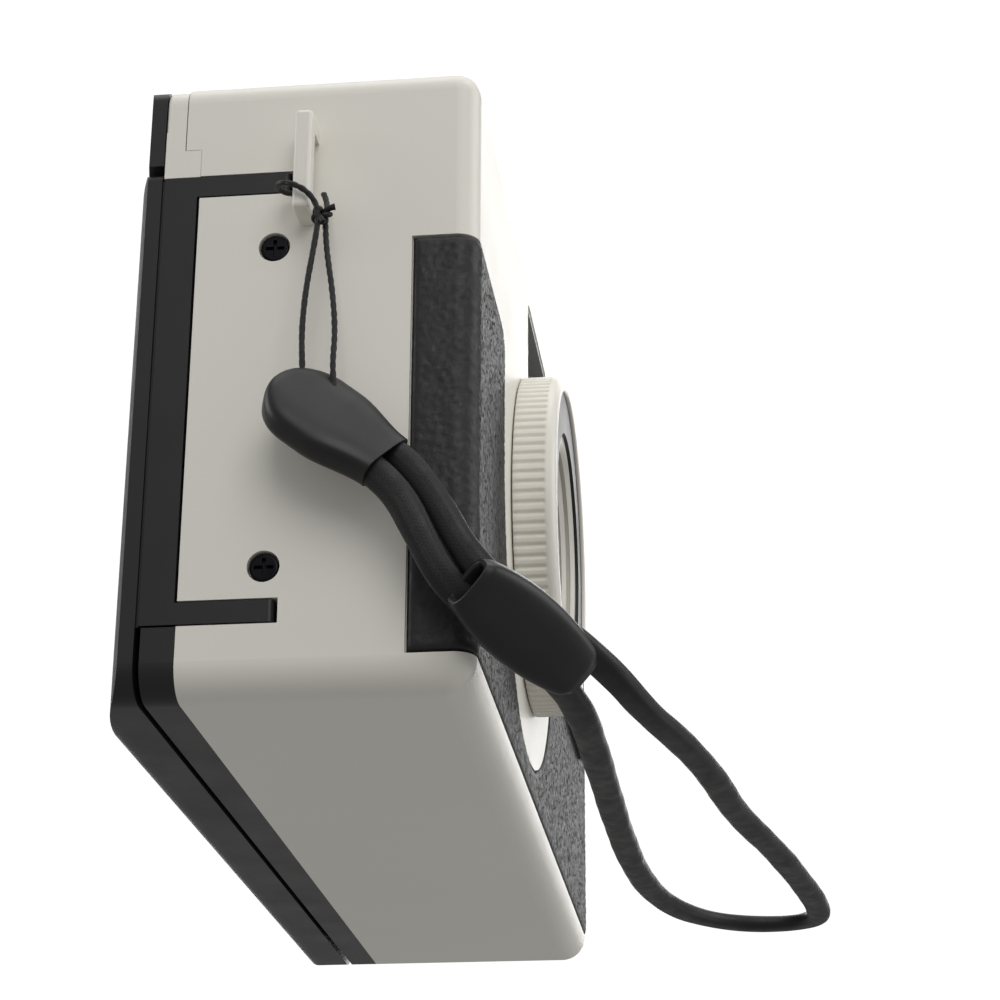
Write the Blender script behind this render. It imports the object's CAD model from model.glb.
import math

import bmesh
import bpy
import numpy as np
from mathutils import Matrix, Vector


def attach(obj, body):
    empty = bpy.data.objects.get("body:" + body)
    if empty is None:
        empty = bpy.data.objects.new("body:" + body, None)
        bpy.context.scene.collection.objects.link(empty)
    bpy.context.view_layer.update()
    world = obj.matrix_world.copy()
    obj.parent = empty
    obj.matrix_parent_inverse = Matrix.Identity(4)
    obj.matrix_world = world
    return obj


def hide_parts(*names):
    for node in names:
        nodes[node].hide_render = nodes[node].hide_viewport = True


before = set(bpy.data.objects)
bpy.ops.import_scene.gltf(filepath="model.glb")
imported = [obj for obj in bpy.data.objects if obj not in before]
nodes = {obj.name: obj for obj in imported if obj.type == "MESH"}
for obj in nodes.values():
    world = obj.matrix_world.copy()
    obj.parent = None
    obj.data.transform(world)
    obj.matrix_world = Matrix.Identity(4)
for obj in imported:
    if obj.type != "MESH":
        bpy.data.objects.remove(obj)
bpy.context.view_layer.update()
scene = bpy.context.scene
MM = 0.001
Y0 = -17.0  # front face of the case, mm

scene.view_settings.view_transform = "Standard"
scene.view_settings.look = "None"

# ------------------------------------------------------------------ camera
ZOOM = 1.39
cam_data = bpy.data.cameras.new("camera")
cam_data.sensor_width = 36.0
cam_data.lens = 36.0 * 1.8218 * ZOOM
cam_data.clip_start = 0.005
cam_data.clip_end = 20.0
cam = bpy.data.objects.new("camera", cam_data)
scene.collection.objects.link(cam)
right = Vector((0.11652, -0.99318, 0.00377))
down = Vector((0.38003, 0.04108, -0.92406))
fwd = Vector((0.91761, 0.10911, 0.38222))
m = Matrix.Identity(4)
for i in range(3):
    m[i][0], m[i][1], m[i][2] = right[i], -down[i], -fwd[i]
m[0][3], m[1][3], m[2][3] = -0.25465, -0.04284, -0.06651
cam.matrix_world = m
scene.camera = cam

# ------------------------------------------------------------- free cords
STRING_ROUTE = [
    (-0.05605, -0.00170, 0.04705), (-0.05605, -0.00010, 0.04710), (-0.05720, 0.00100, 0.04705),
    (-0.05880, 0.00070, 0.04685), (-0.05945, -0.00070, 0.04640), (-0.05935, -0.00220, 0.04550),
    (-0.05880, -0.00305, 0.04420), (-0.05880, -0.00310, 0.04240), (-0.05885, -0.00275, 0.03960),
    (-0.05895, -0.00225, 0.03580), (-0.05910, -0.00205, 0.03180), (-0.05925, -0.00225, 0.02820),
    (-0.05935, -0.00245, 0.02560), (-0.05940, -0.00340, 0.02390), (-0.05940, -0.00470, 0.02390),
    (-0.05935, -0.00525, 0.02540), (-0.05925, -0.00490, 0.02800), (-0.05910, -0.00505, 0.03160),
    (-0.05895, -0.00465, 0.03560), (-0.05865, -0.00400, 0.03940), (-0.05810, -0.00365, 0.04240),
    (-0.05750, -0.00355, 0.04420), (-0.05660, -0.00350, 0.04570), (-0.05605, -0.00300, 0.04700),
]
STRAP_ROUTE = [
    (-0.05869, -0.00766, 0.02201), (-0.05869, -0.00970, 0.02040), (-0.05872, -0.01230, 0.01800),
    (-0.05890, -0.01450, 0.01440), (-0.05885, -0.01650, 0.01060), (-0.05810, -0.01910, 0.00760),
    (-0.05530, -0.02210, 0.00610), (-0.05160, -0.02540, 0.00460), (-0.04700, -0.02840, 0.00290),
    (-0.04160, -0.03040, 0.00160), (-0.03360, -0.03300, 0.00130), (-0.02240, -0.03550, 0.00125),
    (-0.00840, -0.03730, 0.00125), (0.00700, -0.04110, 0.00125), (0.02040, -0.04360, 0.00125),
    (0.03080, -0.04530, 0.00125), (0.03780, -0.04570, 0.00125), (0.04080, -0.04280, 0.00125),
    (0.04080, -0.03760, 0.00125), (0.03800, -0.03300, 0.00125), (0.03260, -0.02940, 0.00125),
    (0.02340, -0.02690, 0.00125), (0.01050, -0.02570, 0.00125), (-0.00490, -0.02530, 0.00125),
    (-0.02040, -0.02520, 0.00125), (-0.03220, -0.02510, 0.00130), (-0.04120, -0.02490, 0.00145),
    (-0.04820, -0.02370, 0.00210), (-0.05340, -0.02100, 0.00330), (-0.05720, -0.01780, 0.00520),
    (-0.05940, -0.01480, 0.00800), (-0.05995, -0.01290, 0.01180), (-0.06011, -0.01120, 0.01530),
    (-0.06011, -0.00880, 0.01787), (-0.06011, -0.00609, 0.02003),
]


def spline_points(route, res=24):
    """Points along a smooth NURBS line through the route."""
    cu = bpy.data.curves.new("line", "CURVE")
    cu.dimensions = "3D"
    cu.resolution_u = res
    sp = cu.splines.new("NURBS")
    sp.points.add(len(route) - 1)
    for p, c in zip(sp.points, route):
        p.co = (c[0], c[1], c[2], 1.0)
    sp.order_u = 3
    sp.use_endpoint_u = True
    ob = bpy.data.objects.new("line", cu)
    scene.collection.objects.link(ob)
    bpy.context.view_layer.update()
    me = bpy.data.meshes.new_from_object(ob)
    pts = np.array([v.co[:] for v in me.vertices])
    bpy.data.objects.remove(ob)
    bpy.data.meshes.remove(me)
    return pts


def even(pts, step):
    """The same line at an even spacing for the rings of a mesh tube."""
    seg = np.linalg.norm(np.diff(pts, axis=0), axis=1)
    keep = np.concatenate([[True], seg > 1e-9])
    pts = pts[keep]
    seg = np.linalg.norm(np.diff(pts, axis=0), axis=1)
    s = np.concatenate([[0], np.cumsum(seg)])
    n = max(2, int(round(s[-1] / step)))
    t = np.linspace(0, s[-1], n + 1)
    out = np.stack([np.interp(t, s, pts[:, k]) for k in range(3)], 1)
    return out, t


def unit(a):
    return a / np.maximum(np.linalg.norm(a, axis=-1, keepdims=True), 1e-12)


def tangents(p):
    t = np.gradient(p, axis=0)
    return unit(t)


def carried_frame(p, start):
    """Side vectors carried along the line without twist."""
    t = tangents(p)
    n = np.zeros_like(p)
    v = np.array(start, float)
    for i in range(len(p)):
        v = v - t[i] * v.dot(t[i])
        v /= np.linalg.norm(v)
        n[i] = v
    return t, n, np.cross(t, n)


def mesh_object(name, verts, faces, smooth=True, uv=None):
    me = bpy.data.meshes.new(name)
    me.from_pydata([tuple(v) for v in verts], [], faces)
    me.update()
    if smooth:
        me.polygons.foreach_set("use_smooth", [True] * len(me.polygons))
    if uv is not None:
        layer = me.uv_layers.new(name="UVMap")
        li = np.zeros(len(me.loops), dtype=np.int64)
        me.loops.foreach_get("vertex_index", li)
        layer.data.foreach_set("uv", np.asarray(uv)[li].ravel())
    ob = bpy.data.objects.new(name, me)
    scene.collection.objects.link(ob)
    return ob


def sweep(p, n, b, radius):
    """Closed tube. radius(j, angles) gives the two half sizes for ring j."""
    rings = []
    for j in range(len(p)):
        prof = radius(j)
        rings.append(p[j] + prof[:, :1] * n[j] + prof[:, 1:] * b[j])
    k = len(rings[0])
    verts = np.concatenate(rings)
    faces = []
    for j in range(len(p) - 1):
        for i in range(k):
            a, c = j * k + i, j * k + (i + 1) % k
            faces.append((a, c, c + k, a + k))
    v = list(verts)
    for j, flip in ((0, True), (len(p) - 1, False)):
        centre = verts[j * k:(j + 1) * k].mean(0)
        v.append(centre)
        ci = len(v) - 1
        for i in range(k):
            a, c = j * k + i, j * k + (i + 1) % k
            faces.append((c, a, ci) if flip else (a, c, ci))
    return np.array(v), faces


# ------------------------------------------------------------- materials
def nt_of(mat):
    mat.use_nodes = True
    nt = mat.node_tree
    nt.nodes.clear()
    out = nt.nodes.new("ShaderNodeOutputMaterial")
    return nt, out


def noise(nt, co, scale, detail=3.0, rough=0.5, distortion=0.0):
    n = nt.nodes.new("ShaderNodeTexNoise")
    n.inputs["Scale"].default_value = scale
    n.inputs["Detail"].default_value = detail
    n.inputs["Roughness"].default_value = rough
    n.inputs["Distortion"].default_value = distortion
    nt.links.new(co, n.inputs["Vector"])
    return n.outputs["Fac"]


def ramp(nt, fac, c0, c1, p0=0.3, p1=0.7):
    r = nt.nodes.new("ShaderNodeValToRGB")
    r.color_ramp.elements[0].position = p0
    r.color_ramp.elements[1].position = p1
    r.color_ramp.elements[0].color = (*c0, 1)
    r.color_ramp.elements[1].color = (*c1, 1)
    nt.links.new(fac, r.inputs["Fac"])
    return r.outputs["Color"]


def span(nt, fac, a, b, p0=0.0, p1=1.0):
    r = nt.nodes.new("ShaderNodeMapRange")
    r.inputs["From Min"].default_value = p0
    r.inputs["From Max"].default_value = p1
    r.inputs["To Min"].default_value = a
    r.inputs["To Max"].default_value = b
    nt.links.new(fac, r.inputs["Value"])
    return r.outputs["Result"]


def bump(nt, height, distance, strength=1.0, normal=None):
    b = nt.nodes.new("ShaderNodeBump")
    b.inputs["Strength"].default_value = strength
    b.inputs["Distance"].default_value = distance
    nt.links.new(height, b.inputs["Height"])
    if normal is not None:
        nt.links.new(normal, b.inputs["Normal"])
    return b.outputs["Normal"]


def coords(nt, kind="Object"):
    return nt.nodes.new("ShaderNodeTexCoord").outputs[kind]


def plastic(name, base, var=0.03, rough=0.4, rspan=0.06, vscale=45.0, grain=2600.0, depth=0.006, coat=0.0, spec=0.5, metal=0.0, sheen=0.0, wave=0.0):
    """Moulded surface: slight colour drift, uneven gloss, fine tool grain."""
    mat = bpy.data.materials.new(name)
    nt, out = nt_of(mat)
    co = coords(nt)
    p = nt.nodes.new("ShaderNodeBsdfPrincipled")
    c0 = tuple(max(0.0, c * (1 - var)) for c in base)
    c1 = tuple(min(1.0, c * (1 + var)) for c in base)
    nt.links.new(ramp(nt, noise(nt, co, vscale, 4.0), c0, c1), p.inputs["Base Color"])
    nt.links.new(span(nt, noise(nt, co, vscale * 3.1, 5.0, 0.6), rough - rspan, rough + rspan, 0.25, 0.75), p.inputs["Roughness"])
    nrm = bump(nt, noise(nt, co, grain, 2.0, 0.5), depth * MM, 1.0)
    if wave:
        nrm = bump(nt, noise(nt, co, 55.0, 1.0, 0.4), wave * MM, 1.0, nrm)
    nt.links.new(nrm, p.inputs["Normal"])
    p.inputs["Metallic"].default_value = metal
    p.inputs["Specular IOR Level"].default_value = spec
    p.inputs["Coat Weight"].default_value = coat
    p.inputs["Coat Roughness"].default_value = 0.12
    p.inputs["Sheen Weight"].default_value = sheen
    p.inputs["Sheen Roughness"].default_value = 0.4
    nt.links.new(p.outputs[0], out.inputs[0])
    return mat


def metal(name, base, rough=0.25, brushed=(1.0, 1.0, 14.0), depth=0.004):
    mat = bpy.data.materials.new(name)
    nt, out = nt_of(mat)
    co = coords(nt)
    mp = nt.nodes.new("ShaderNodeMapping")
    mp.inputs["Scale"].default_value = brushed
    nt.links.new(co, mp.inputs["Vector"])
    p = nt.nodes.new("ShaderNodeBsdfPrincipled")
    c0 = tuple(c * 0.86 for c in base)
    nt.links.new(ramp(nt, noise(nt, co, 120.0, 4.0), c0, base), p.inputs["Base Color"])
    nt.links.new(span(nt, noise(nt, mp.outputs[0], 420.0, 3.0), rough - 0.08, rough + 0.1, 0.3, 0.7), p.inputs["Roughness"])
    nt.links.new(bump(nt, noise(nt, mp.outputs[0], 900.0, 2.0), depth * MM), p.inputs["Normal"])
    p.inputs["Metallic"].default_value = 1.0
    nt.links.new(p.outputs[0], out.inputs[0])
    return mat


def glass(name, tint=(1, 1, 1), rough=0.02, ior=1.49, frost=False):
    mat = bpy.data.materials.new(name)
    nt, out = nt_of(mat)
    co = coords(nt)
    p = nt.nodes.new("ShaderNodeBsdfPrincipled")
    nt.links.new(ramp(nt, noise(nt, co, 80.0), tuple(c * 0.97 for c in tint), tint), p.inputs["Base Color"])
    p.inputs["Transmission Weight"].default_value = 1.0
    p.inputs["IOR"].default_value = ior
    nt.links.new(span(nt, noise(nt, co, 300.0, 4.0), rough, rough * 2.2, 0.3, 0.8), p.inputs["Roughness"])
    if frost:
        w = nt.nodes.new("ShaderNodeTexWave")
        w.wave_type = "BANDS"
        w.bands_direction = "X"
        w.wave_profile = "SIN"
        w.inputs["Scale"].default_value = 210.0
        w.inputs["Distortion"].default_value = 0.0
        nt.links.new(co, w.inputs["Vector"])
        n1 = bump(nt, w.outputs["Fac"], 0.16 * MM)
        nt.links.new(bump(nt, noise(nt, co, 2200.0, 2.0), 0.02 * MM, 1.0, n1), p.inputs["Normal"])
    nt.links.new(p.outputs[0], out.inputs[0])
    return mat


CREAM = (0.80, 0.775, 0.705)
M = {}
M["cream"] = plastic("cream_plastic", CREAM, 0.012, 0.40, 0.04, 30.0, 3200.0, 0.0045, spec=0.5, wave=0.02)
M["cream_ring"] = plastic("cream_ring_plastic", CREAM, 0.015, 0.36, 0.05, 40.0, 3200.0, 0.003)
M["black"] = plastic("black_plastic", (0.0105, 0.0105, 0.011), 0.12, 0.42, 0.06, 40.0, 3400.0, 0.005, spec=0.42, wave=0.02)
M["gloss"] = plastic("black_gloss", (0.007, 0.007, 0.0075), 0.15, 0.20, 0.05, 60.0, 2600.0, 0.003, coat=0.25)
M["inner"] = plastic("inner_black", (0.010, 0.010, 0.010), 0.2, 0.62, 0.06, 60.0, 1800.0, 0.012)
M["hood"] = plastic("lens_hood_plastic", (0.62, 0.60, 0.545), 0.03, 0.42, 0.05, 60.0, 2600.0, 0.004)
M["bezel"] = plastic("bezel_grey", (0.17, 0.17, 0.168), 0.06, 0.42, 0.06, 60.0, 2600.0, 0.005)
M["board"] = plastic("board", (0.035, 0.13, 0.055), 0.25, 0.35, 0.1, 220.0, 1500.0, 0.01)
M["sleeve"] = plastic("capacitor_sleeve", (0.03, 0.035, 0.05), 0.1, 0.3, 0.05)
M["battery"] = plastic("battery_jacket", (0.13, 0.13, 0.14), 0.1, 0.28, 0.05, coat=0.3)
M["foam"] = plastic("foam", (0.012, 0.012, 0.012), 0.3, 0.9, 0.05, 400.0, 1700.0, 0.15)
M["dial"] = plastic("dial_white", (0.74, 0.74, 0.72), 0.02, 0.4, 0.05)
M["fitting"] = plastic("strap_fitting", (0.0095, 0.0095, 0.010), 0.15, 0.40, 0.06, 90.0, 2300.0, 0.006, spec=0.42, wave=0.015)
M["steel"] = metal("steel", (0.62, 0.62, 0.63), 0.28)
M["brass"] = metal("brass", (0.80, 0.62, 0.33), 0.3)
M["chrome"] = metal("chrome_reflector", (0.85, 0.85, 0.86), 0.12)
M["screw"] = metal("black_screw", (0.016, 0.016, 0.018), 0.30, (1, 1, 1), 0.01)
M["glass"] = glass("clear_glass", (0.96, 0.98, 0.97))
M["frost"] = glass("frosted_window", (0.93, 0.94, 0.93), 0.16, 1.49, True)


def leather_material():
    mat = bpy.data.materials.new("leatherette")
    nt, out = nt_of(mat)
    co = coords(nt)
    p = nt.nodes.new("ShaderNodeBsdfPrincipled")
    nt.links.new(ramp(nt, noise(nt, co, 260.0, 5.0), (0.0085, 0.0085, 0.009), (0.015, 0.015, 0.0155)), p.inputs["Base Color"])
    nt.links.new(span(nt, noise(nt, co, 1100.0, 3.0), 0.44, 0.60, 0.3, 0.7), p.inputs["Roughness"])
    v = nt.nodes.new("ShaderNodeTexVoronoi")
    v.inputs["Scale"].default_value = 3100.0
    nt.links.new(co, v.inputs["Vector"])
    n1 = bump(nt, v.outputs["Distance"], 0.012 * MM)
    nt.links.new(bump(nt, noise(nt, co, 1500.0, 4.0, 0.6), 0.03 * MM, 1.0, n1), p.inputs["Normal"])
    p.inputs["Specular IOR Level"].default_value = 0.42
    nt.links.new(p.outputs[0], out.inputs[0])
    return mat


def weave_material(name, base, pitch_u, pitch_v, depth, rough=0.5, sheen=0.15):
    """Fine plait along the cord's own length. UV is metres round and along."""
    mat = bpy.data.materials.new(name)
    nt, out = nt_of(mat)
    uv = coords(nt, "UV")
    co = coords(nt)
    p = nt.nodes.new("ShaderNodeBsdfPrincipled")
    heights = []
    for sgn in (1.0, -1.0):
        mp = nt.nodes.new("ShaderNodeMapping")
        mp.inputs["Rotation"].default_value = (0, 0, sgn * math.atan2(pitch_u, pitch_v))
        nt.links.new(uv, mp.inputs["Vector"])
        w = nt.nodes.new("ShaderNodeTexWave")
        w.wave_profile = "SIN"
        w.inputs["Scale"].default_value = 0.314 / min(pitch_u, pitch_v)
        w.inputs["Distortion"].default_value = 0.6
        w.inputs["Detail"].default_value = 1.0
        nt.links.new(mp.outputs[0], w.inputs["Vector"])
        heights.append(w.outputs["Fac"])
    mx = nt.nodes.new("ShaderNodeMath")
    mx.operation = "MAXIMUM"
    nt.links.new(heights[0], mx.inputs[0])
    nt.links.new(heights[1], mx.inputs[1])
    hi = tuple(min(1, c * 1.5 + 0.004) for c in base)
    nt.links.new(ramp(nt, mx.outputs[0], tuple(c * 0.7 for c in base), hi, 0.1, 0.95), p.inputs["Base Color"])
    nt.links.new(span(nt, noise(nt, co, 700.0, 3.0), rough - 0.08, rough + 0.08, 0.3, 0.7), p.inputs["Roughness"])
    n1 = bump(nt, mx.outputs[0], depth * MM)
    nt.links.new(bump(nt, noise(nt, co, 5200.0, 2.0), 0.01 * MM, 1.0, n1), p.inputs["Normal"])
    p.inputs["Sheen Weight"].default_value = sheen
    p.inputs["Sheen Roughness"].default_value = 0.4
    p.inputs["Specular IOR Level"].default_value = 0.35
    nt.links.new(p.outputs[0], out.inputs[0])
    return mat


M["leather"] = leather_material()
M["strap"] = weave_material("strap_cord", (0.0062, 0.0062, 0.0066), 0.00026, 0.00026, 0.0045, 0.48, 0.02)
M["string"] = weave_material("strap_string", (0.006, 0.006, 0.0065), 0.00014, 0.00014, 0.006, 0.55, 0.05)

LOOK = {
    "cream": "front_cover rear_top_trim strap_lug flash_ring",
    "leather": "leatherette",
    "gloss": "front_plate latch_slider shutter_button crank_lever",
    "black": "rear_frame eyepiece_cover back_door hinge_leaf door_catch lens_black_ring advance_wheel rewind_hub",
    "glass": "eyepiece_lens front_lens rear_lens viewfinder_lens flash_tube counter_window",
    "steel": "hinge_pins pressure_plate pressure_spring chassis_screws aperture_plate shutter_blade button_spring button_spring_seat crank_pin",
    "inner": "film_chassis battery_lid lens_barrel shutter_plate viewfinder_tunnel take_up_spool film_sprocket rewind_fork",
    "foam": "light_seal",
    "battery": "battery",
    "brass": "battery_contacts",
    "hood": "lens_hood",
    "bezel": "viewfinder_bezel",
    "frost": "flash_window",
    "chrome": "flash_reflector",
    "board": "circuit_board",
    "sleeve": "flash_capacitor",
    "dial": "counter_dial",
    "screw": "side_screws",
    "string": "strap_string strap_knot",
    "strap": "strap_cord",
    "fitting": "strap_cap strap_slider",
}
given = set()
for key, names in LOOK.items():
    for n in names.split():
        o = nodes[n]
        given.add(n)
        if not o.material_slots:
            o.data.materials.append(M[key])
        for s in o.material_slots:
            s.link = "OBJECT"
            s.material = M[key]
for n, o in nodes.items():
    if n not in given:
        for s in o.material_slots:
            s.link = "OBJECT"
            s.material = M["black"]

# ------------------------------------------------------------ strap string
pts_string = spline_points(STRING_ROUTE)
p, t_len = even(pts_string, 0.00009)
T, N, B = carried_frame(p, (-1, 0, 0))
K_S = 18
ang = np.linspace(0, 2 * math.pi, K_S, endpoint=False)
R_S = 0.275 * MM


def string_ring(j):
    s = t_len[j]
    k = 2 * math.pi / 0.00085
    a = 0.5 + 0.5 * np.cos(2 * ang + k * s)
    b = 0.5 + 0.5 * np.cos(2 * ang - k * s)
    r = R_S * (0.80 + 0.20 * np.maximum(a, b) ** 0.8) * (1 + 0.02 * math.sin(s * 2100) + 0.015 * math.sin(s * 5300 + 1))
    return np.stack([r * np.cos(ang), r * np.sin(ang)], 1)


v, f = sweep(p, N, B, string_ring)
uv = np.zeros((len(v), 2))
for j in range(len(p)):
    uv[j * K_S:(j + 1) * K_S, 0] = ang * R_S
    uv[j * K_S:(j + 1) * K_S, 1] = t_len[j]
string_ob = mesh_object("strap_string_braid", v, f, True, uv)
string_ob.data.materials.append(M["string"])

# ------------------------------------------------------------------- knot
KC = np.array((-0.05845, -0.00325, 0.04350))


def tube_mesh(points, r, k=12, step=0.00012, start=(0, 0, 1), taper=False):
    q, tl = even(np.array(points, float), step)
    _, n, b = carried_frame(q, start)
    a = np.linspace(0, 2 * math.pi, k, endpoint=False)

    def ring(j):
        s = tl[j]
        kk = 2 * math.pi / 0.00115
        w = np.maximum(0.5 + 0.5 * np.cos(2 * a + kk * s), 0.5 + 0.5 * np.cos(2 * a - kk * s))
        rr = r * (0.82 + 0.18 * w)
        if taper:
            rr = rr * (1.0 + 0.25 * max(0.0, (s - 0.75 * tl[-1]) / (0.25 * tl[-1])))
        return np.stack([rr * np.cos(a), rr * np.sin(a)], 1)
    return sweep(q, n, b, ring)


th = np.linspace(0.25, 2 * math.pi - 0.25, 90)
kr = 0.30 * MM
knot_line = np.stack([
    0.9 * kr * (np.sin(th) + 1.5 * np.sin(2 * th)),
    1.15 * kr * (np.cos(th) - 1.5 * np.cos(2 * th)),
    -1.1 * kr * np.sin(3 * th),
], 1)
knot_line = knot_line[:, [2, 1, 0]] + KC
tail1 = [KC + np.array(q) * MM for q in ((0.0, -0.25, 0.1), (-0.2, -0.6, 0.35), (-0.3, -0.95, 0.55), (-0.3, -1.35, 0.62))]
tail2 = [KC + np.array(q) * MM for q in ((-0.2, 0.05, -0.2), (-0.45, -0.15, -0.5), (-0.6, -0.30, -0.8), (-0.62, -0.42, -1.1))]
vs, fs, off = [], [], 0
for line, tp in ((knot_line, False), (spline_points([tuple(q) for q in tail1], 12), True), (spline_points([tuple(q) for q in tail2], 12), True)):
    vv, ff = tube_mesh(line, 0.27 * MM, taper=tp)
    vs.append(vv)
    fs += [tuple(i + off for i in q) for q in ff]
    off += len(vv)
knot_ob = mesh_object("strap_string_knot", np.concatenate(vs), fs)
knot_ob.data.materials.append(M["string"])

# ------------------------------------------------------------- strap cord
pts_strap = spline_points(STRAP_ROUTE)
p, t_len2 = even(pts_strap, 0.0006)
T = tangents(p)
side = np.array((-0.97, -0.05, -0.2))
flat = np.array((0.0, 0.0, -1.0))
w = np.clip((p[:, 2] - 0.0018) / (0.0065 - 0.0018), 0, 1)
w = (w * w * (3 - 2 * w))[:, None]
N = flat * (1 - w) + side * w
for _ in range(6):
    N[1:-1] = 0.25 * N[:-2] + 0.5 * N[1:-1] + 0.25 * N[2:]
N = unit(N - T * (N * T).sum(1, keepdims=True))
B = unit(np.cross(T, N))
K_C = 20
angc = np.linspace(0, 2 * math.pi, K_C, endpoint=False)
HW, HT = 1.38 * MM, 0.86 * MM
sx = np.sign(np.cos(angc)) * np.abs(np.cos(angc)) ** 0.78
sy = np.sign(np.sin(angc)) * np.abs(np.sin(angc)) ** 0.78


def cord_ring(j):
    s = t_len2[j]
    g = 1 + 0.018 * math.sin(s * 410 + 0.7) + 0.012 * math.sin(s * 1130 + 2.1)
    h = 1 + 0.03 * math.sin(s * 530 + 1.9)
    return np.stack([HT * h * sx, HW * g * sy], 1)


v, f = sweep(p, N, B, cord_ring)
uv = np.zeros((len(v), 2))
for j in range(len(p)):
    uv[j * K_C:(j + 1) * K_C, 0] = angc * 1.15 * MM
    uv[j * K_C:(j + 1) * K_C, 1] = t_len2[j]
strap_ob = mesh_object("wrist_cord", v, f, True, uv)
strap_ob.data.materials.append(M["strap"])


# ------------------------------------------------------- cap and slider
def pod(name, centre, axis, up, length, half_w, half_t, mouths, expo=3.2, rings=44, k=56):
    """Moulded shell, lofted along its axis, with a pocket at each mouth end."""
    c = np.array(centre, float)
    x = unit(np.array(axis, float))
    u = np.array(up, float)
    u = unit(u - x * u.dot(x))
    y = np.cross(u, x)
    a = np.linspace(0, 2 * math.pi, k, endpoint=False)
    ca = np.sign(np.cos(a)) * np.abs(np.cos(a)) ** (2 / expo)
    sa = np.sign(np.sin(a)) * np.abs(np.sin(a)) ** (2 / expo)

    def ring(s, hw, ht, bow=0.0):
        return c + x * s + np.outer(ca * hw, y) + np.outer(sa * ht, u) + u * bow

    rows = []
    f0, f1 = 0.0, 1.0
    fr = 0.5 - 0.5 * np.cos(np.linspace(0, math.pi, rings))
    if mouths[0]:
        for dep, sc in ((3.6, 0.50), (3.4, 0.72), (1.2, 0.74), (0.25, 0.78), (0.02, 0.86)):
            rows.append(ring(-length / 2 + dep * MM, half_w(0.0) * sc, half_t(0.0) * sc * 0.92))
    for q in fr:
        rows.append(ring(length * (q - 0.5), half_w(q), half_t(q)))
    if mouths[1]:
        for dep, sc in ((0.02, 0.86), (0.25, 0.78), (1.2, 0.74), (3.4, 0.72), (3.6, 0.50)):
            rows.append(ring(length / 2 - dep * MM, half_w(1.0) * sc, half_t(1.0) * sc * 0.92))
    v = np.concatenate(rows)
    faces = []
    for j in range(len(rows) - 1):
        for i in range(k):
            p0, p1 = j * k + i, j * k + (i + 1) % k
            faces.append((p0, p1, p1 + k, p0 + k))
    vl = list(v)
    for j, flip in ((0, True), (len(rows) - 1, False)):
        vl.append(v[j * k:(j + 1) * k].mean(0))
        ci = len(vl) - 1
        for i in range(k):
            p0, p1 = j * k + i, j * k + (i + 1) % k
            faces.append((p1, p0, ci) if flip else (p0, p1, ci))
    ob = mesh_object(name, vl, faces)
    ob.data.materials.append(M["fitting"])
    return ob


def sm(a, b, t):
    t = min(1.0, max(0.0, (t - a) / (b - a)))
    return t * t * (3 - 2 * t)


def cap_w(q):
    lead = max(0.0, 1 - max(0.0, 1 - q / 0.34) ** 2.0) ** 0.5
    return (4.2 * lead * (1 - 0.30 * sm(0.5, 1.0, q)) + 0.02) * MM


def cap_t(q):
    lead = max(0.0, 1 - max(0.0, 1 - q / 0.10) ** 2.2) ** 0.5
    return (1.65 * (0.55 + 0.45 * lead) * (1 - 0.06 * sm(0.6, 1.0, q))) * MM if q > 0.001 else 0.3 * MM


def sl_w(q):
    body = 0.66 + 0.34 * max(0.0, math.sin(math.pi * q**0.92)) ** 0.75
    return 3.5 * body * (1 - 0.16 * (1 - sm(0, 0.07, 1 - q)) - 0.05 * (1 - sm(0, 0.05, q))) * MM


def sl_t(q):
    return 1.75 * (0.84 + 0.16 * max(0.0, math.sin(math.pi * q)) ** 0.6) * (1 - 0.12 * (1 - sm(0, 0.05, min(q, 1 - q)))) * MM


cap_ob = pod("strap_end_cap", (-0.05940, -0.00484, 0.02264), (0, -0.78, -0.62), (-0.86, -0.30, 0.38), 0.0126, cap_w, cap_t, (False, True), 3.6)
slider_ob = pod("strap_slide_fitting", (-0.0549, -0.0212, 0.0049), (9.7, -7.6, -4.4), (-0.93, -0.10, -0.36), 0.0144, sl_w, sl_t, (True, True))

for ob, old, slot in (
    (string_ob, "strap_string", "strap_string"),
    (knot_ob, "strap_knot", "strap_string"),
    (strap_ob, "strap_cord", "strap_cord"),
    (cap_ob, "strap_cap", "strap_fitting"),
    (slider_ob, "strap_slider", "strap_fitting"),
):
    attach(ob, "housing")
    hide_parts(old)


def run_length(q):
    return float(np.linalg.norm(np.diff(q, axis=0), axis=1).sum())


print("lengths", run_length(pts_string), run_length(pts_strap))

# ------------------------------------------------------------- flash ring
RING_R, RING_IN, RIM_IN, LIP_Y, FACE_Y, BACK_Y = 17.6, 16.05, 16.75, -3.45, -4.4, -0.12
TEETH, PER = 104, 10
NA = TEETH * PER
prof_r = [
    (RIM_IN, BACK_Y), (17.2, BACK_Y), (17.45, BACK_Y), (17.56, -0.20), (RING_R, -0.32), (RING_R, -0.62), (RING_R, -1.2),
    (RING_R, -1.9), (RING_R, -2.5), (RING_R, -2.95), (RING_R, -3.14), (RING_R, -3.26), (17.6, -3.36), (17.585, -3.52),
    (17.53, -3.72), (17.42, -3.92), (17.25, -4.12), (17.02, -4.28), (16.75, -4.37), (16.5, FACE_Y), (16.25, FACE_Y),
    (16.11, -4.34), (RING_IN, -4.2), (RING_IN, -3.8), (RING_IN, LIP_Y), (16.4, LIP_Y), (RIM_IN, LIP_Y), (RIM_IN, -1.8),
]
cut = [0, 0, 0.5, 0.9, 1, 1, 1, 1, 1, 1, 0.9, 0.45, 0.0] + [0.0] * 15
th_ = np.arange(NA) / NA * 2 * math.pi
ph = (np.arange(NA) % PER) / PER
dist_ = np.minimum(ph, 1 - ph) * 2 * math.pi * RING_R / TEETH
groove = np.clip(1 - (dist_ / 0.24) ** 2, 0, 1) ** 0.7
rv = []
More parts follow.
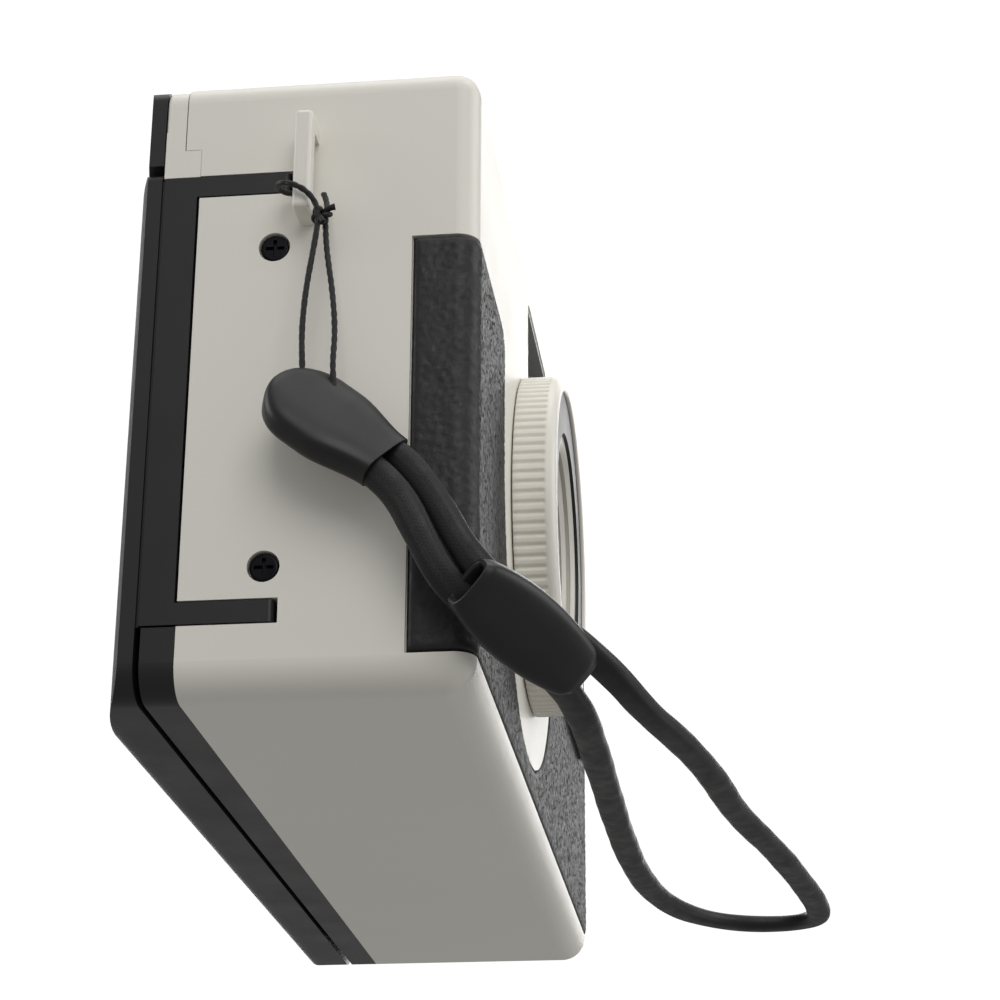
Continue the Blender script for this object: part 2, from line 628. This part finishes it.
for (rr, yy), cc in zip(prof_r, cut):
    r_ = rr - 0.26 * cc * groove
    rv.append(np.stack([(-11.0 + r_ * np.cos(th_)) * MM, np.full(NA, (yy + Y0) * MM), (29.5 + r_ * np.sin(th_)) * MM], 1))
rf = []
nr = len(prof_r)
for j in range(nr):
    for i in range(NA):
        a_, b_ = j * NA + i, j * NA + (i + 1) % NA
        k_ = (j + 1) % nr
        rf.append((a_, b_, k_ * NA + (i + 1) % NA, k_ * NA + i))
ring_ob = mesh_object("flash_ring_knurled", np.concatenate(rv), rf)
ring_ob.data.materials.append(M["cream_ring"])
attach(ring_ob, "flash_switch")
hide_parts("flash_ring")

# ------------------------------------------------------------ leatherette
LX, LZ, RT, CR = -11.0, 29.5, 23.2, 2.7
ZL, ZH, WRAP, RF = 3.2, 42.7, 5.85, 2.0
A = WRAP - RF
ARC = math.pi / 2 * RF
FRONT = 110.0 - 2 * RF
S_ALL = 2 * A + 2 * ARC + FRONT


def leather_base(s):
    """Plan position and outward normal at arc length s, mm."""
    s = np.asarray(s, float)
    x = np.zeros_like(s)
    y = np.zeros_like(s)
    nx = np.zeros_like(s)
    ny = np.zeros_like(s)
    mir = s > S_ALL / 2
    q = np.where(mir, S_ALL - s, s)
    m1 = q < A
    m2 = (q >= A) & (q < A + ARC)
    m3 = q >= A + ARC
    x[m1], y[m1], nx[m1] = -55.0, WRAP - q[m1], -1.0
    a = (q[m2] - A) / RF
    x[m2] = -53.0 - RF * np.cos(a)
    y[m2] = RF - RF * np.sin(a)
    nx[m2], ny[m2] = -np.cos(a), -np.sin(a)
    x[m3] = -53.0 + (q[m3] - A - ARC)
    y[m3] = 0.0
    ny[m3] = -1.0
    x = np.where(mir, -x, x)
    nx = np.where(mir, -nx, nx)
    return x, y, nx, ny


def panel_distance(s, z):
    """How far inside the panel's outline a point is, mm."""
    x = s - S_ALL / 2
    d = np.minimum(np.minimum(z - ZL, ZH - z), np.minimum(s, S_ALL - s))
    dt = np.where(z <= LZ, np.hypot(x - LX, z - LZ) - RT, np.abs(x - LX) - RT)
    d = np.minimum(d, dt)
    for sd in (-1, 1):
        xc = LX + sd * (RT + CR)
        zc = ZH - CR
        m_ = (z > zc) & ((x - xc) * sd < 0) & ((x - LX) * sd > 0)
        d = np.where(m_, CR - np.hypot(x - xc, z - zc), d)
    return d


def band_noise(ns, nz, step, wave, seed, spread=0.35):
    rng = np.random.default_rng(seed)
    g = rng.standard_normal((ns, nz))
    fx = np.fft.fftfreq(ns, step)[:, None]
    fz = np.fft.fftfreq(nz, step)[None, :]
    fr = np.hypot(fx, fz)
    f0 = 1.0 / wave
    filt = np.exp(-((fr - f0) / (f0 * spread)) ** 2)
    o = np.real(np.fft.ifft2(np.fft.fft2(g) * filt))
    return o / o.std()


STEP = 0.25
ns = int(round(S_ALL / STEP)) + 1
nz = int(round((ZH - ZL) / STEP)) + 1
S1 = np.linspace(0, S_ALL, ns)
Z1 = np.linspace(ZL, ZH, nz)
SS, ZZ = np.meshgrid(S1, Z1, indexing="ij")
n1 = band_noise(ns, nz, STEP, 1.10, 11)
n2 = band_noise(ns, nz, STEP, 0.8, 23, 0.4)
cell = np.tanh(2.2 * np.abs(n1) / (0.55 + 0.25 * np.abs(n2)))
grain = cell * 0.105 + 0.018 * n2
D = panel_distance(SS, ZZ)
sc_ = 0.5 * (S1[:-1] + S1[1:])
zc_ = 0.5 * (Z1[:-1] + Z1[1:])
DC = panel_distance(*np.meshgrid(sc_, zc_, indexing="ij"))
keep = DC > 0
used = np.zeros((ns, nz), bool)
for di in (0, 1):
    for dj in (0, 1):
        used[di:ns - 1 + di, dj:nz - 1 + dj] |= keep
# outline points are pulled onto the outline
nbr = np.zeros((ns, nz), bool)
pad = np.zeros((ns + 1, nz + 1), bool)
pad[1:-1, 1:-1] = keep
alln = pad[:-1, :-1] & pad[1:, :-1] & pad[:-1, 1:] & pad[1:, 1:]
edge = used & ~alln
PS, PZ = SS.copy(), ZZ.copy()
e = 0.01
for _ in range(4):
    d0 = panel_distance(PS, PZ)
    gs = (panel_distance(PS + e, PZ) - panel_distance(PS - e, PZ)) / (2 * e)
    gz = (panel_distance(PS, PZ + e) - panel_distance(PS, PZ - e)) / (2 * e)
    gl = np.maximum(np.hypot(gs, gz), 0.3)
    mv = edge & (np.abs(PS - S_ALL / 2 - LX) < RT + CR + 1)
    PS = np.where(mv, PS - d0 * gs / gl**2, PS)
    PZ = np.where(mv, PZ - d0 * gz / gl**2, PZ)
PS = np.clip(PS, 0, S_ALL)
PZ = np.clip(PZ, ZL, ZH)
D = np.maximum(panel_distance(PS, PZ), 0)
roll = np.clip(D / 0.5, 0, 1)
roll = np.sqrt(np.clip(1 - (1 - roll) ** 2, 0, 1))
fade = np.clip((D - 0.1) / 0.7, 0, 1)
h = -0.30 + 0.36 * roll + grain * fade
bx, by, bnx, bny = leather_base(PS.ravel())
h = h.ravel()
V3 = np.stack([(bx + bnx * h) * MM, (by + bny * h + Y0) * MM, PZ.ravel() * MM], 1)
idx = -np.ones(ns * nz, int)
uidx = np.flatnonzero(used.ravel())
idx[uidx] = np.arange(len(uidx))
ii, jj = np.nonzero(keep)
a0 = idx[ii * nz + jj]
a1 = idx[(ii + 1) * nz + jj]
a2 = idx[(ii + 1) * nz + jj + 1]
a3 = idx[ii * nz + jj + 1]
faces = np.stack([a0, a1, a2, a3], 1)
leather_ob = mesh_object("leatherette_panel", V3[uidx], faces.tolist())
leather_ob.data.materials.append(M["leather"])
sol = leather_ob.modifiers.new("back", "SOLIDIFY")
sol.thickness = 0.00012
sol.offset = -1.0
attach(leather_ob, "housing")
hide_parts("leatherette")

# ---------------------------------------------------- stage and lights
floor_me = bpy.data.meshes.new("floor")
Fz = -0.0004
FR = 1.6
floor_me.from_pydata([(-FR, -FR, Fz), (FR, -FR, Fz), (FR, FR, Fz), (-FR, FR, Fz)], [], [(0, 1, 2, 3)])
floor = bpy.data.objects.new("floor", floor_me)
scene.collection.objects.link(floor)
floor.visible_diffuse = False
floor.visible_glossy = False
floor.visible_transmission = False
floor.visible_shadow = False
fm = bpy.data.materials.new("pale_floor")
nt, out = nt_of(fm)
dif = nt.nodes.new("ShaderNodeBsdfPrincipled")
dif.inputs["Roughness"].default_value = 0.9
nt.links.new(ramp(nt, noise(nt, coords(nt), 8.0), (0.86, 0.86, 0.855), (0.90, 0.90, 0.895)), dif.inputs["Base Color"])
far = nt.nodes.new("ShaderNodeVectorMath")
far.operation = "LENGTH"
nt.links.new(coords(nt), far.inputs[0])
glow = nt.nodes.new("ShaderNodeEmission")
glow.inputs[1].default_value = 1.05
blend = nt.nodes.new("ShaderNodeMixShader")
nt.links.new(span(nt, far.outputs["Value"], 0.0, 1.0, 0.30, 0.75), blend.inputs[0])
nt.links.new(dif.outputs[0], blend.inputs[1])
nt.links.new(glow.outputs[0], blend.inputs[2])
tr = nt.nodes.new("ShaderNodeBsdfTransparent")
mix = nt.nodes.new("ShaderNodeMixShader")
geo = nt.nodes.new("ShaderNodeNewGeometry")
nt.links.new(geo.outputs["Backfacing"], mix.inputs[0])
nt.links.new(blend.outputs[0], mix.inputs[1])
nt.links.new(tr.outputs[0], mix.inputs[2])
nt.links.new(mix.outputs[0], out.inputs[0])
floor_me.materials.append(fm)

world = bpy.data.worlds.new("studio")
scene.world = world
world.use_nodes = True
nt = world.node_tree
nt.nodes.clear()
wo = nt.nodes.new("ShaderNodeOutputWorld")
amb = nt.nodes.new("ShaderNodeBackground")
amb.inputs[0].default_value = (1.0, 0.995, 0.985, 1)
amb.inputs[1].default_value = 0.30
see = nt.nodes.new("ShaderNodeBackground")
see.inputs[0].default_value = (1, 1, 1, 1)
see.inputs[1].default_value = 1.05
lp = nt.nodes.new("ShaderNodeLightPath")
mixw = nt.nodes.new("ShaderNodeMixShader")
nt.links.new(lp.outputs["Is Camera Ray"], mixw.inputs[0])
nt.links.new(amb.outputs[0], mixw.inputs[1])
nt.links.new(see.outputs[0], mixw.inputs[2])
nt.links.new(mixw.outputs[0], wo.inputs[0])


def area(name, at, aim, size, power, size_y=None, color=(1, 1, 1)):
    d = bpy.data.lights.new(name, "AREA")
    d.shape = "RECTANGLE"
    d.size = size
    d.size_y = size_y or size
    d.energy = power
    d.color = color
    o = bpy.data.objects.new(name, d)
    o.location = at
    v = Vector(aim) - Vector(at)
    o.rotation_mode = "QUATERNION"
    o.rotation_quaternion = v.to_track_quat("-Z", "Y")
    scene.collection.objects.link(o)
    return o


MID = (0.0, -0.01, 0.03)
area("key_left", (-0.85, -0.25, 0.55), MID, 0.7, 3.6)
area("key_right", (0.95, 0.05, 0.45), MID, 0.8, 6.6)
area("top", (0.0, -0.1, 1.1), MID, 0.9, 4.2)
area("front", (0.05, -1.1, 0.45), MID, 0.8, 4.6)
area("back", (-0.1, 1.1, 0.5), MID, 0.8, 4.6)
area("low_front", (0.30, -0.85, -0.35), MID, 0.45, 0.8)
